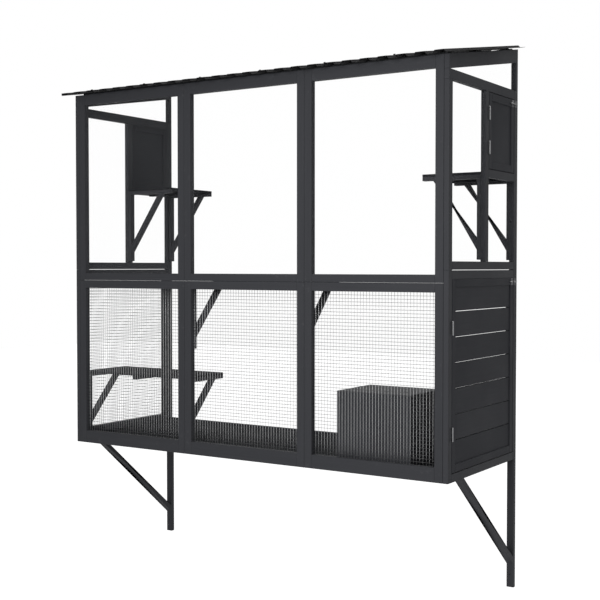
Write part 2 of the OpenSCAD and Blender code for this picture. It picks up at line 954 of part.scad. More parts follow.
module sleeping_box_front() {
    color("#3a3b3e") on_sleep() cube([box_w, box_t, box_h - box_t]);
}

module sleeping_box_back() {
    color("#343538") on_sleep() translate([0, box_d - box_t, 0]) cube([box_w, box_t, box_h - box_t]);
}

// Left panel with the round entrance
module sleeping_box_left() {
    color("#343538") on_sleep() difference() {
        translate([0, box_t, 0]) cube([box_t, box_d - 2 * box_t, box_h - box_t]);
        translate([-past, box_d / 2, entry_z])
            rotate([0, 90, 0]) cylinder(h = box_t + 2 * past, d = entry_d, $fn = 96);
    }
}

module sleeping_box_right() {
    color("#303134") on_sleep() translate([box_w - box_t, box_t, 0])
        cube([box_t, box_d - 2 * box_t, box_h - box_t]);
}

module sleeping_box_lid() {
    color("#2c2d30") on_sleep() translate([0, 0, box_h - box_t]) cube([box_w, box_d, box_t]);
}

// ---- Floor, legs and braces ----------------------------------------------

// Boards along the wall, with a gap between neighbours
module floor_boards() {
    run = rail_y - front_t - 2 * fixed_gap;
    wide = (run - (floor_count - 1) * floor_gap) / floor_count;
    color("#2c2d30") place()
        for (i = [0:floor_count - 1])
            translate([side_t, front_t + fixed_gap + i * (wide + floor_gap), joist_h])
                cube([inner_w, wide, floor_t]);
}

// Three joists from the front frames to the rear rail
module floor_joists() {
    color("#2f3033") place()
        for (x = [side_t, (body_w - joist_w) / 2, side_x - joist_w])
            bar([x, front_t, 0], [x + joist_w, rail_y, joist_h]);
}

module rear_bottom_rail() {
    color("#36373a") place() bar([side_t, rail_y, 0], [side_x, body_d, rear_rail_h]);
}

// Leg under the rear corner, with its wall screw hole
module leg() {
    difference() {
        bar([body_w - leg_w, body_d - leg_d, -leg_l], [body_w, body_d, 0]);
        wall_hole(-wall_screw_down);
    }
}

module left_leg() {
    color("#36373a") place_left() leg();
}

module right_leg() {
    color("#36373a") place() leg();
}

// Brace from the box's underside down to the leg
module brace() {
    run = body_d - leg_d - brace_y;
    wide = brace_t / sin(brace_a);
    slab(body_w - leg_w, leg_w, [
        [brace_y - wide, 0],
        [body_d - leg_d, -(run + wide) * tan(brace_a)],
        [body_d - leg_d, -run * tan(brace_a)],
        [brace_y, 0]
    ]);
}

module left_brace() {
    color("#303134") place_left() brace();
}

module right_brace() {
    color("#303134") place() brace();
}

// ---- Roof ----------------------------------------------------------------

// Section of the roof sheet across the ribs, from beyond its left edge
module sheet_section() {
    out = 0.6 * sheet_t;
    low = [for (k = [0:rib_n - 1]) each [
        [rib_start + k * rib_pitch - rib_foot / 2, 0],
        [rib_start + k * rib_pitch - rib_top / 2, rib_h],
        [rib_start + k * rib_pitch + rib_top / 2, rib_h],
        [rib_start + k * rib_pitch + rib_foot / 2, 0]
    ]];
    high = [for (k = [rib_n - 1:-1:0]) each [
        [rib_start + k * rib_pitch + rib_foot / 2 + out, sheet_t],
        [rib_start + k * rib_pitch + rib_top / 2 + out, rib_h + sheet_t],
        [rib_start + k * rib_pitch - rib_top / 2 - out, rib_h + sheet_t],
        [rib_start + k * rib_pitch - rib_foot / 2 - out, sheet_t]
    ]];
    polygon(concat([[-rib_foot, 0]], low, [[sheet_w, 0], [sheet_w, sheet_t]], high,
        [[-rib_foot, sheet_t]]));
}

// Puts its children at each roof screw, at the height of the roof plane
module at_screws() {
    for (k = [1:screw_every:rib_n - 1], u = battens)
        translate([rib_start + k * rib_pitch - verge, -u - batten_w / 2, 0]) children();
}

// Ribbed sheet whose first rib may be cut by its left edge
module roof_sheet() {
    color("#17181a") place() on_roof() difference() {
        translate([-verge, 0, 0]) rotate([90, 0, 0]) linear_extrude(sheet_l) sheet_section();
        bar([-verge - rib_foot - past, -sheet_l - past, -past],
            [-verge, past, rib_h + sheet_t + past]);
        at_screws() cylinder(h = rib_h + sheet_t + past, r = screw_r + sheet_hole_play);
    }
}

module roof_battens() {
    color("#36373a") place() on_roof() difference() {
        for (u = battens)
            bar([side_t, -u - batten_w, -batten_t], [side_x, -u, 0]);
        at_screws() translate([0, 0, -screw_bite - pilot_extra])
            cylinder(h = screw_bite + pilot_extra + past, r = screw_r + pilot_play);
    }
}

// Screws with a washer and a six-sided head, through the rib tops
module roof_screws() {
    top = rib_h + sheet_t;
    color("#222325") place() on_roof() at_screws() {
        translate([0, 0, -screw_bite]) cylinder(h = screw_bite + top + washer_t, r = screw_r);
        translate([0, 0, top]) cylinder(h = washer_t, r = washer_r);
        translate([0, 0, top + washer_t]) cylinder(h = screw_head, d = screw_hex, $fn = 6);
    }
}

front_upper_frame_left();
front_upper_frame_middle();
front_upper_frame_right();
front_lower_frame_left();
front_lower_frame_middle();
front_lower_frame_right();
front_window_left();
front_window_middle();
front_window_right();
front_net_left();
front_net_middle();
front_net_right();
side_net();
left_upper_frame();
right_upper_frame();
left_lower_frame();
right_lower_frame();
rear_posts();
left_rafter();
right_rafter();
left_side_windows();
right_side_windows();
left_side_panel();
lower_door_frame();
lower_door_planks();
upper_door_frame();
upper_door_panel();
hinge_fixed_leaves();
hinge_pins();
lower_hinge_leaves();
upper_hinge_leaves();
lower_bolt_plate();
upper_bolt_plate();
lower_bolt_rod();
upper_bolt_rod();
bolt_keepers();
lower_left_shelf();
middle_shelf();
upper_left_shelf();
upper_right_shelf();
lower_left_brackets();
middle_brackets();
upper_left_brackets();
upper_right_brackets();
sleeping_box_front();
sleeping_box_back();
sleeping_box_left();
sleeping_box_right();
sleeping_box_lid();
floor_boards();
floor_joists();
rear_bottom_rail();
left_leg();
right_leg();
left_brace();
right_brace();
roof_sheet();
roof_battens();
roof_screws();
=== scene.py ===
# %% [markdown]
# # Window box catio
# A catio of this kind is a light timber case that hangs on the wall in front
# of a window. Charcoal frames carry clear panes above and welded net below,
# a ribbed sheet covers the top, and two doors with small black fittings close
# the right side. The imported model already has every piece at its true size. This
# script dresses it: planed timber with eased edges, real net, painted and
# plated finishes, and a plain studio.

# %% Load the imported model
import json
import math

import bpy
import numpy as np
from mathutils.geometry import convex_hull_2d
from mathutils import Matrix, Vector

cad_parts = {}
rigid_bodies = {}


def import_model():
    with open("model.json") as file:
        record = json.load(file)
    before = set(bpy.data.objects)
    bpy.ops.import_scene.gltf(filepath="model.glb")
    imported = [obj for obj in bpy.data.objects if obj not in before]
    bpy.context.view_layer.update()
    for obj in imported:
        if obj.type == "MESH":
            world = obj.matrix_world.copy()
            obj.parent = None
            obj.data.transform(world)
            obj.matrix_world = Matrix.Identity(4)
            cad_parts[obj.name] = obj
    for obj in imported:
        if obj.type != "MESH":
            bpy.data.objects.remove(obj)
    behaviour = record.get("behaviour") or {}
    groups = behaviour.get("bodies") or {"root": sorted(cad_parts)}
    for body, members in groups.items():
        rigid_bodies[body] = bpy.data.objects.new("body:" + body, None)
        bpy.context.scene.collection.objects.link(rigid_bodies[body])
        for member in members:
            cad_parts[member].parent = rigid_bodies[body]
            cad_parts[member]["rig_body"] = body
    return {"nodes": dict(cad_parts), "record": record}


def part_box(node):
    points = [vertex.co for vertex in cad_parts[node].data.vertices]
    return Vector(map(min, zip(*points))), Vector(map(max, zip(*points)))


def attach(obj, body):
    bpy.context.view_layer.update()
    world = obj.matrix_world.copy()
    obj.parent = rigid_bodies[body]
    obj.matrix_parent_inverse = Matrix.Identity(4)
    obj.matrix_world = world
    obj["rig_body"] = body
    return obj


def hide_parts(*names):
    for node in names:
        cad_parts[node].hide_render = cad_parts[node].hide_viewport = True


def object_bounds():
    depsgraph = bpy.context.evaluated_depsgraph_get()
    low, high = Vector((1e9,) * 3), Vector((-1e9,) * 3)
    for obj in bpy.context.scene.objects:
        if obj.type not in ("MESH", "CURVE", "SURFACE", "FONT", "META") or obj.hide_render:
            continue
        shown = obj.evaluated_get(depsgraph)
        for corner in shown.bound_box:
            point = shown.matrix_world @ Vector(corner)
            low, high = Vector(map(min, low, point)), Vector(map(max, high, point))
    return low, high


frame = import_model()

cad_box = [list(corner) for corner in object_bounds()]
record = frame["record"]
print("CAD box", [[round(v, 4) for v in corner] for corner in cad_box])

# %% [markdown]
# ## Camera
# The picture was taken from in front and to the right, at about the height of
# the case's middle, with a moderate tele lens. The position, turn and focal
# length come from the case's own straight edges: the three directions of its
# frames meet at three vanishing points, which fix the lens and the turn, and
# the net's pitch fixes the distance.

# %% Camera at the photograph's viewing angle
camera_data = bpy.data.cameras.new("camera")
camera_data.sensor_width = 36.0
camera_data.lens = 66.51
camera = bpy.data.objects.new("camera", camera_data)
camera.location = (2.5132, -4.0895, 0.5155)
camera.rotation_euler = (math.pi / 2 - 0.0298, 0.0, 0.5741)
bpy.context.scene.collection.objects.link(camera)
bpy.context.scene.camera = camera
turned = math.degrees(camera.rotation_euler.z)
print("camera turned", round(turned, 1), "degrees to the left")

# %% [markdown]
# ## Helpers for meshes
# A piece is worked out as arrays of points and faces and then handed to the
# mesh in one go. Each piece keeps its place in its points, with its object at
# the origin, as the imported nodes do. The values that a finish needs are kept
# on the points: `grain` is the place inside the piece of wood, with the first
# number along its fibres, `edge` is 1 on an arris and 0 on a flat, and `tone`
# is one shade for each stick.


# %% Arrays to mesh
def put_mesh(name, points, faces, values=None, smooth=False):
    """Make an object from points (n, 3) and faces (lists of point numbers).
    values maps an attribute's name to one number or one vector per point."""
    mesh = bpy.data.meshes.new(name)
    mesh.from_pydata(points.tolist(), [], faces)
    for key, value in (values or {}).items():
        kind = "FLOAT_VECTOR" if value.ndim == 2 else "FLOAT"
        layer = mesh.attributes.new(key, kind, "POINT")
        layer.data.foreach_set("vector" if value.ndim == 2 else "value",
                               value.astype(np.float32).ravel())
    mesh.polygons.foreach_set("use_smooth", np.full(len(mesh.polygons), smooth))
    mesh.update()
    piece = bpy.data.objects.new(name, mesh)
    bpy.context.scene.collection.objects.link(piece)
    return piece


def grid_faces(rows, columns, close_rows=False):
    """Four-sided faces of a grid whose columns run round and close: face (i, j)
    takes points (i, j), (i, j + 1), (i + 1, j + 1) and (i + 1, j)."""
    i, j = np.meshgrid(np.arange(rows if close_rows else rows - 1),
                       np.arange(columns), indexing="ij")
    up, over = (i + 1) % rows, (j + 1) % columns
    return np.stack([i * columns + j, i * columns + over,
                     up * columns + over, up * columns + j], -1).reshape(-1, 4)


# %% Solids of a node
def solids(node):
    """Corner points of each closed solid of a CAD node. Points at one place
    get one number. Each number then takes the lowest that a triangle joins it
    to, again and again, until each solid has a number of its own."""
    mesh = frame["nodes"][node].data
    mesh.calc_loop_triangles()
    points = np.empty(len(mesh.vertices) * 3)
    mesh.vertices.foreach_get("co", points)
    corners = np.empty(len(mesh.loop_triangles) * 3, np.int32)
    mesh.loop_triangles.foreach_get("vertices", corners)
    places, number = np.unique(np.round(points.reshape(-1, 3), 5), axis=0,
                               return_inverse=True)
    triangles = number.ravel()[corners].reshape(-1, 3)
    label = np.arange(len(places))
    while True:
        lower = label.copy()
        np.minimum.at(lower, triangles.ravel(), np.repeat(label[triangles].min(1), 3))
        lower = lower[lower]
        if np.array_equal(lower, label):
            return [places[label == k] for k in np.unique(label)]
        label = lower


count = {node: len(solids(node)) for node in frame["nodes"]}
print(sum(count.values()), "solids; most in", sorted(count, key=count.get)[-4:])

# %% [markdown]
# ## Planed timber
# Every stick of the frames, doors, shelves and legs is planed softwood. A
# planer leaves flat faces and crisp arrises, and a pass of fine paper eases
# them by about a millimetre, so each edge catches a thin line of light. A
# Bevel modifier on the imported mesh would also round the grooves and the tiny
# steps at the joints. Here each stick is read as what it is, a flat outline
# with a thickness, and is drawn again with its arrises rounded by a formula.


# %% Outline and thickness of a stick
same_place = 2e-5


def read_stick(points):
    """Outline (n, 3) and depth vector of a straight-sided solid. Seen along
    each axis in turn, its convex hull is the outline where every corner of the
    hull exists at both ends of the solid. A hull's corner with the sine of its
    bend under 0.02 lies on a straight side and is left out."""
    for axis in (1, 0, 2):
        flat = np.delete(points, axis, 1)
        low, high = points[:, axis].min(), points[:, axis].max()
        places = np.unique(np.round(flat, 5), axis=0)
        corners = places[convex_hull_2d(places.tolist())]
        back = corners - np.roll(corners, 1, 0)
        on = np.roll(corners, -1, 0) - corners
        bend = np.abs(back[:, 0] * on[:, 1] - back[:, 1] * on[:, 0])
        lengths = np.linalg.norm(back, axis=1) * np.linalg.norm(on, axis=1)
        corners = corners[bend >= 0.02 * lengths]
        near = np.linalg.norm(flat[:, None] - corners[None], axis=2) < same_place
        ends = [[abs(points[near[:, c], axis] - end).min() < same_place
                 for end in (low, high)] for c in range(len(corners))]
        if np.all(ends):
            depth = np.eye(3)[axis] * (high - low)
            return np.insert(corners, axis, low, 1), depth
    raise ValueError("a solid is no straight-sided stick")


# %% A stick with eased arrises
def eased_stick(outline, depth, ease, folds=None):
    """Rounded prism over an outline (n, 3) with a depth vector.

    Each corner becomes three points of an arc: corner + r (1 - sin t) towards
    the last corner + r (1 - cos t) towards the next, for t = 0, 45, 90
    degrees. Six rings carry the outline through the depth. Near each end a
    ring at the angle f lies ease (1 - cos f) deep and is drawn in by
    ease (1 - sin f). folds gives other corner radii than the ease. Returns
    points, faces and the edge value of each point."""
    across = depth / np.linalg.norm(depth)
    following = np.roll(outline, -1, 0)
    area = np.cross(outline - outline[0], following - outline[0]).sum(0)
    if area @ across < 0:
        outline = outline[::-1]
    to_last = np.roll(outline, 1, 0) - outline
    to_next = np.roll(outline, -1, 0) - outline
    to_last /= np.linalg.norm(to_last, axis=1, keepdims=True)
    to_next /= np.linalg.norm(to_next, axis=1, keepdims=True)
    sine = np.cross(to_next, to_last) @ across
    inward = (to_last + to_next) / sine[:, None]
    round_to = np.full(len(outline), ease) if folds is None else folds

    f = np.radians([0, 45, 90])
    inset = np.concatenate([1 - np.sin(f), 1 - np.sin(f[::-1])]) * ease
    deep = np.concatenate([ease * (1 - np.cos(f)),
                           np.linalg.norm(depth) - ease * (1 - np.cos(f[::-1]))])
    t = np.radians([0, 45, 90])
    radius = np.maximum(round_to[None] - inset[:, None], 0.3 * ease)
    arc = ((1 - np.sin(t))[:, None] * to_last[:, None]
           + (1 - np.cos(t))[:, None] * to_next[:, None])
    corner = outline[None] + inset[:, None, None] * inward[None]
    points = (corner[:, :, None] + radius[:, :, None, None] * arc[None]
              + deep[:, None, None, None] * across)
    columns = 3 * len(outline)
    faces = grid_faces(len(inset), columns).tolist()
    faces.append(list(range(columns))[::-1])
    faces.append(list(range((len(inset) - 1) * columns, len(inset) * columns)))

    edge = np.zeros(points.shape[:3])
    edge[[1, 4]] = 1
    edge[:, :, 1] = 1
    return points.reshape(-1, 3), faces, edge.ravel()


# %% Grain and tone for a stick
shades = np.random.default_rng(8)


def wood_values(points, edge):
    """Attributes of one stick. grain holds the distances from its middle with
    the longest side first, moved by a chance amount so that no two sticks show
    the same figure. tone is one chance number for the stick."""
    size = np.ptp(points, axis=0)
    order = np.argsort(-size)
    middle = points.mean(0)
    grain = (points - middle)[:, order] + shades.uniform(-5, 5, 3)
    tone = np.full(len(points), shades.uniform(0, 1))
    return {"grain": grain, "edge": edge, "tone": tone}


def join_parts(parts):
    """One set of points, faces and values from several. Each part's point
    numbers are moved past those of the parts before it."""
    starts = np.cumsum([0] + [len(points) for points, _, _ in parts])
    points = np.concatenate([points for points, _, _ in parts])
    faces = [[int(v) + int(start) for v in face]
             for start, (_, part_faces, _) in zip(starts, parts) for face in part_faces]
    keys = parts[0][2].keys()
    values = {key: np.concatenate([v[key] for _, _, v in parts]) for key in keys}
    return points, faces, values


def stick_part(solid, ease):
    """Points, faces and values of one solid as an eased stick. Thin boards get
    a smaller easing, a tenth of their thickness at most."""
    outline, depth = read_stick(solid)
    thinnest = np.ptp(solid, axis=0).min()
    points, faces, edge = eased_stick(outline, depth, min(ease, 0.1 * thinnest))
    return points, faces, wood_values(points, edge)


timber_ease = 0.0012
test = stick_part(solids("rear_bottom_rail")[0], timber_ease)
print("one stick has", len(test[0]), "points and", len(test[1]), "faces")

# %% [markdown]
# ## The sticks of the case
# One call dresses one node: its solids become eased sticks in one mesh, the
# new mesh rides on the node's body and stands for the node. Frame stock is
# 20 mm or thicker and takes a 1.2 mm easing. The boards, planks and panels are
# 10 to 12 mm thick and take less, as a real sander would leave them.
#
# Light falls through the seams, so their height shows. The picture has a slit
# of about 2 mm under the bottom rails of the upper side frames, less than 1 mm
# between the front frames and none over the lower door. The level face at each
# seam is moved by as much before the stick is drawn. The left lower frame also
# gets the stile that the picture shows between its net and the rear post.

# %% Planed timber for every straight-sided node
pieces = {}


def dress(node, points, faces, values, slot, smooth=False):
    """Put a new mesh in a node's place, on the same body. slot is not used."""
    piece = put_mesh(node + ".made", points, faces, values, smooth)
    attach(piece, frame["nodes"][node]["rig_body"])
    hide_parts(node)
    pieces[node] = piece


frames = [f"front_{row}_frame_{side}" for row in ("upper", "lower")
          for side in ("left", "middle", "right")]
frames += ["left_upper_frame", "right_upper_frame", "left_lower_frame",
           "right_lower_frame", "left_rafter", "right_rafter"]
doors = ["lower_door_frame", "lower_door_planks", "upper_door_frame",
         "upper_door_panel", "left_side_panel"]
shelves = ["lower_left_shelf", "middle_shelf", "upper_left_shelf", "upper_right_shelf"]
brackets = ["lower_left_brackets", "middle_brackets", "upper_left_brackets",
            "upper_right_brackets"]
sleeping_box = ["sleeping_box_" + side for side in ("front", "back", "right", "lid")]
base = ["floor_boards", "floor_joists", "rear_bottom_rail", "left_brace", "right_brace"]
roof_timber = ["roof_battens"]

door_gap = 0.0025
seams = {f"front_lower_frame_{side}": (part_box(f"front_lower_frame_{side}")[1].z, 0.0022)
         for side in ("left", "middle", "right")}
seams |= {f"{side}_upper_frame": (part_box(f"{side}_upper_frame")[0].z, 0.0018)
          for side in ("left", "right")}
seams["right_lower_frame"] = (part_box("lower_door_frame")[1].z + door_gap, -0.0022)


def runs_back(solid):
    """Whether the longest side of a solid runs back to the wall."""
    return np.argmax(np.ptp(solid, axis=0)) == 1


def fit_seam(node, solid):
    """A solid with its level face at a seam's height moved by that seam's
    change. In the front frames all sticks move, in the side frames the rails."""
    if node in seams and ("front" in node or runs_back(solid)):
        height, change = seams[node]
        at_seam = abs(solid[:, 2] - height) < 0.0002
        solid = solid.copy()
        solid[at_seam, 2] += change
        print(node, at_seam.sum(), "corners moved by", change)
    return solid


def rear_stile(width=0.028):
    """Corners of a stile that stands between the two rails of the left lower
    frame, against the rear post."""
    rails = [solid for solid in solids("left_lower_frame") if runs_back(solid)]
    rails.sort(key=lambda rail: rail[:, 2].min())
    x, y = ((rails[0][:, axis].min(), rails[0][:, axis].max()) for axis in (0, 1))
    z = rails[0][:, 2].max(), rails[1][:, 2].min()
    return np.array(np.meshgrid(x, (y[1] - width, y[1]), z)).reshape(3, -1).T


for node in frames + doors + shelves + brackets + sleeping_box + base + roof_timber:
    sticks = [stick_part(fit_seam(node, solid), timber_ease) for solid in solids(node)]
    if node == "left_lower_frame":
        sticks.append(stick_part(rear_stile(), timber_ease))
    dress(node, *join_parts(sticks), "charcoal_timber")
face_count = sum(len(piece.data.polygons) for piece in pieces.values())
print(len(pieces), "timber nodes,", face_count, "faces")

# %% [markdown]
# ## Boards with a hole
# The sleeping box has a round entrance in its left panel, and the rear posts
# and legs are drilled for the wall screws. A hole can be cut with a Boolean,
# which leaves a raw edge. Here the board is drawn as rings that go round the
# hole: each ray from the hole's middle runs along one face, over the rim, back
# along the other face and through the hole, so both edges come out rounded.


# %% A board as rays from its hole
def holed_part(low, high, axis, centre, radius, ease, hole_ease, rays=64):
    """Box from low to high with a round hole along axis through centre.

    A ray at the angle t ends where it meets the box's outline, at
    R = min(side / |cos t|, side / |sin t|) for the side that it faces. The
    rings at r = hole radius, the hole's eased edge, the rim's eased edge and
    R, on one face and then the other, are joined into a closed loop."""
    across = [a for a in (0, 1, 2) if a != axis]
    if axis == 1:
        across = across[::-1]
    c = np.array([centre[a] for a in across])
    reach_low = c - np.array([low[a] for a in across])
    reach_high = np.array([high[a] for a in across]) - c
    corners = [math.atan2(y, x) for x in (-reach_low[0], reach_high[0])
               for y in (-reach_low[1], reach_high[1])]
    t = np.unique(np.concatenate([np.linspace(-math.pi, math.pi, rays, endpoint=False),
                                  corners]))
    ray = np.stack([np.cos(t), np.sin(t)], 1)

    def outline(inset):
        side = np.where(ray > 0, reach_high - inset, reach_low - inset)
        return (side / np.maximum(np.abs(ray), 1e-9)).min(1)

    bow = np.radians([0, 45, 90])
    rim_in, rim_deep = ease * (1 - np.sin(bow)), ease * (1 - np.cos(bow))
    hole_in, hole_deep = hole_ease * (1 - np.sin(bow)), hole_ease * (1 - np.cos(bow))
    thick = high[axis] - low[axis]
    face = ([(radius + hole_in[k], hole_deep[k], k == 1) for k in (2, 1, 0)]
            + [(outline(rim_in[k]), rim_deep[k], k == 1) for k in (0, 1, 2)])
    loop = face + [(r, thick - deep, worn_and_highlit) for r, deep, worn_and_highlit in face[::-1]]
    reach = np.array([np.broadcast_to(r, t.shape) for r, _, _ in loop])
    points = np.empty((len(loop), len(t), 3))
    points[..., across] = c + reach[..., None] * ray
    points[..., axis] = low[axis] + np.array([deep for _, deep, _ in loop])[:, None]
    edge = np.repeat([float(worn_and_highlit) for _, _, worn_and_highlit in loop], len(t))
    points = points.reshape(-1, 3)
    faces = grid_faces(len(loop), len(t), close_rows=True).tolist()
    return points, faces, wood_values(points, edge)


# %% Entrance panel, rear posts and legs
low, high = (np.array(c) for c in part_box("sleeping_box_left"))
entrance_radius, entrance_height = 0.08, 0.12
middle = (low + high) / 2
middle[2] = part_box("floor_boards")[1].z + entrance_height
print("entrance", 2 * entrance_radius, "m across in a panel",
      [round(v, 4) for v in high - low])
dress("sleeping_box_left", *holed_part(low, high, 0, middle, entrance_radius,
                                       0.001, 0.0018), "charcoal_timber")

screws = next(m for m in record["mounts"] if m["name"] == "wall_screws")
screw_x = screws["dims"]["spacing_x_mm"] / 2000
screw_z = screws["dims"]["spacing_y_mm"] / 2000
screw_r = screws["dims"]["hole_r_mm"] / 1000
drilled_at = {"rear_posts": screw_z, "left_leg": -screw_z, "right_leg": -screw_z}
for node, z in drilled_at.items():
    drilled = []
    for solid in solids(node):
        low, high = solid.min(0), solid.max(0)
        side = math.copysign(screw_x, low[0] + high[0])
        drilled.append(holed_part(low, high, 1, (side, 0.0, z), screw_r, timber_ease,
                                  0.0003, 24))
    dress(node, *join_parts(drilled), "charcoal_timber")
    print(node, "drilled at z =", z)

# %% [markdown]
# ## Welded net
# The net is galvanised wire of 1.3 mm, welded where the upright and level wires
# cross, 12.7 mm apart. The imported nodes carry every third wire, which is enough
# for collision. The real one is close enough to read as a tone from a few
# steps away, so every wire is drawn: a six-sided tube along a line that bows a
# few tenths of a millimetre, because no roll of net lies quite flat. The value
# `upright` is 1 on an upright wire and 0 on a level one, for the finish.

# %% Every wire of a net
wire_pitch = 0.0127
wire_radius = 0.00065
wire_bow = 0.00025
wire_lift = 0.00012
least_margin = 0.002
wire_chance = np.random.default_rng(12)


def wires(starts, run, rings=7, sides=6):
    """Straight tubes from starts (n, 3) along the vector run.

    The middle line is start + u run for u from 0 to 1, moved sideways by
    bow sin(pi m u + phase), with m and the phase chosen for each wire, and by
    a smaller amount in the same way across that. A ring of six points stands
    round it at every step of u."""
    n = len(starts)
    along = run / np.linalg.norm(run)
    side = np.cross(along, [0.36, 0.48, 0.8])
    side /= np.linalg.norm(side)
    other = np.cross(along, side)
    u = np.linspace(0, 1, rings)
    m = wire_chance.integers(1, 4, (n, 1))
    phase = wire_chance.uniform(0, 2 * math.pi, (n, 2))
    bow = wire_bow * np.sin(math.pi * m * u + phase[:, :1])
    lift = wire_lift * np.sin(math.pi * m * u + phase[:, 1:])
    line = (starts[:, None] + u[None, :, None] * run
            + bow[..., None] * side + lift[..., None] * other)
    t = np.arange(sides) * 2 * math.pi / sides
    ring = wire_radius * (np.cos(t)[:, None] * side + np.sin(t)[:, None] * other)
    points = (line[:, :, None] + ring).reshape(-1, 3)
    number = (np.arange(n) * rings * sides)[:, None, None]
    tubes = (grid_faces(rings, sides)[None] + number).reshape(-1, 4)
    first = np.arange(sides)[::-1]
    caps = np.stack([first, (rings - 1) * sides + np.arange(sides)])
    caps = (caps[None] + number).reshape(-1, sides)
    return points, tubes.tolist() + caps.tolist()


def net(node):
    """Net in a node's box: level wires in front of upright ones. Each layer
    reaches one face of the box, so the wires sink into each other at a weld."""
    low, high = (np.array(c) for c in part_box(node))
    thin = int(np.argmin(high - low))
    wide = 1 - thin
    middle = (low[thin] + high[thin]) / 2
    layer = (high[thin] - low[thin]) / 2 - wire_radius
    parts = []
    for step, run, offset in ((wide, 2, layer), (2, wide, -layer)):
        n = int((high[step] - low[step] - 2 * least_margin) / wire_pitch) + 1
        starts = np.tile(low, (n, 1))
        margin = (high[step] - low[step] - (n - 1) * wire_pitch) / 2
        starts[:, step] += margin + np.arange(n) * wire_pitch
        starts[:, thin] = middle + offset
        length = np.zeros(3)
        length[run] = high[run] - low[run]
        points, faces = wires(starts, length)
        upright = np.full(len(points), float(run == 2))
        parts.append((points, faces, {"upright": upright}))
        print(node, n, "wires", "upright" if run == 2 else "level")
    dress(node, *join_parts(parts), "galvanised_wire", smooth=True)


for node in ("front_net_left", "front_net_middle", "front_net_right", "side_net"):
    net(node)

# %% [markdown]
# ## Ribbed roof sheet
# The roof is one folded sheet with low, wide ribs that run down the slope. A
# press brake can't fold a sharp corner, so each fold has a radius of about two
# sheet thicknesses. The section across the ribs is drawn as one closed outline,
# its folds rounded by the same arc formula as the sticks, and carried down the
# slope. The sheet was cut to width through its first rib, and what was left of
# that rib is folded down, so the left edge shows as a band of the ribs' height.
# Dust stays in the pans between the ribs: the value `pan` is 1 there and 0 on
# top of a rib.

# %% The sheet's section carried down the slope
low, high = (np.array(c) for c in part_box("roof_sheet"))
sheet = 0.001
rib = {"pitch": 0.0729, "height": 0.009, "top": 0.034, "foot": 0.048}
first_rib = 0.0155
fold_radius, cut_radius = 0.0022, 0.0003
slope = math.radians(10.4)
sheet_width = high[0] - low[0]
half = sheet_width / 2
ribs = int((sheet_width - first_rib - rib["foot"] / 2 - 4 * sheet) / rib["pitch"]) + 1
up = np.array([0.0, -math.sin(slope), math.cos(slope)])
down = np.array([0.0, -math.cos(slope), -math.sin(slope)])
thick = rib["height"] + sheet
back_edge = np.array([0.0, high[1], high[2] - thick * up[2]])
slope_length = (high[1] - low[1] - thick * math.sin(slope)) / math.cos(slope)

middles = first_rib - half + np.arange(ribs) * rib["pitch"]
lean = 0.6 * sheet
under_x = np.stack([middles - rib["foot"] / 2, middles - rib["top"] / 2,
                    middles + rib["top"] / 2, middles + rib["foot"] / 2], 1).ravel()
over_x = under_x + np.tile([-lean, -lean, lean, lean], ribs)
rise = np.tile([0, rib["height"], rib["height"], 0], ribs)
x = np.concatenate([[-half, sheet - half, sheet - half], under_x[2:], [half, half],
                    over_x[:1:-1], [-half]])
h = np.concatenate([[0, 0, rib["height"]], rise[2:], [0, sheet], rise[:1:-1] + sheet,
                    [thick]])
outline = back_edge + x[:, None] * np.array([1.0, 0.0, 0.0]) + h[:, None] * up
folds = np.full(len(outline), fold_radius)
folds[[0, 1, 4 * ribs + 1, 4 * ribs + 2]] = cut_radius
points, faces, edge = eased_stick(outline, slope_length * down, 0.00025, folds)
above = (points - back_edge) @ up
pan = 1 - np.clip(above / rib["height"], 0, 1)
dress("roof_sheet", points, faces, {"edge": edge, "pan": pan}, "roof_metal")
print(ribs, "ribs on a sheet", round(sheet_width, 3), "m wide and",
      round(slope_length, 3), "m down the slope")

# %% [markdown]
# ## Screws of the fittings
# Hinge leaves, bolt plates and keepers are held by small countersunk screws
# with a cross recess. A screw head is a disc that stands a hair proud of the
# plate. Its recess is pressed in, which a formula over the disc's radius and
# angle gives: deep along two crossed bars, shallow between them.


# %% Screw heads
def screw_heads(places, out, radius=0.0022, rings=6, rays=24):
    """Countersunk heads at places (n, 3) on a face that looks along out.

    A point at r and angle t stands at dome (1 - (r/R)^2) above the rim, less
    the recess, deep s where s = 1 - min(|x|, |y|) / bar, kept from 0 to 1,
    and only inside 0.62 R. A skirt at the rim goes back into the plate."""
    out = np.array(out, float)
    side = np.cross(out, [0.0, 0.0, 1.0])
    other = np.cross(out, side)
    r = np.concatenate([[0.02], np.linspace(0.2, 1, rings - 1)])[:, None]
    t = np.arange(rays) * 2 * math.pi / rays
    x, y = r * np.cos(t), r * np.sin(t)
    bar = np.clip(1.4 - np.minimum(abs(x), abs(y)) / 0.11, 0, 1)
    recess = 0.0007 * bar * (r < 0.62)
    height = 0.00015 + 0.00012 * (1 - r**2) - recess
    x, y = (np.concatenate([v, v[-1:]]) * radius for v in (x, y))
    height = np.concatenate([height, np.full((1, rays), -0.0003)])
    head = (x[..., None] * side + y[..., None] * other + height[..., None] * out)
    points = (np.asarray(places)[:, None, None] + head[None]).reshape(-1, 3)
    one = grid_faces(len(height), rays).tolist() + [list(range(rays))]
    size = len(height) * rays
    faces = [[v + k * size for v in face] for k in range(len(places)) for face in one]
    return points, faces


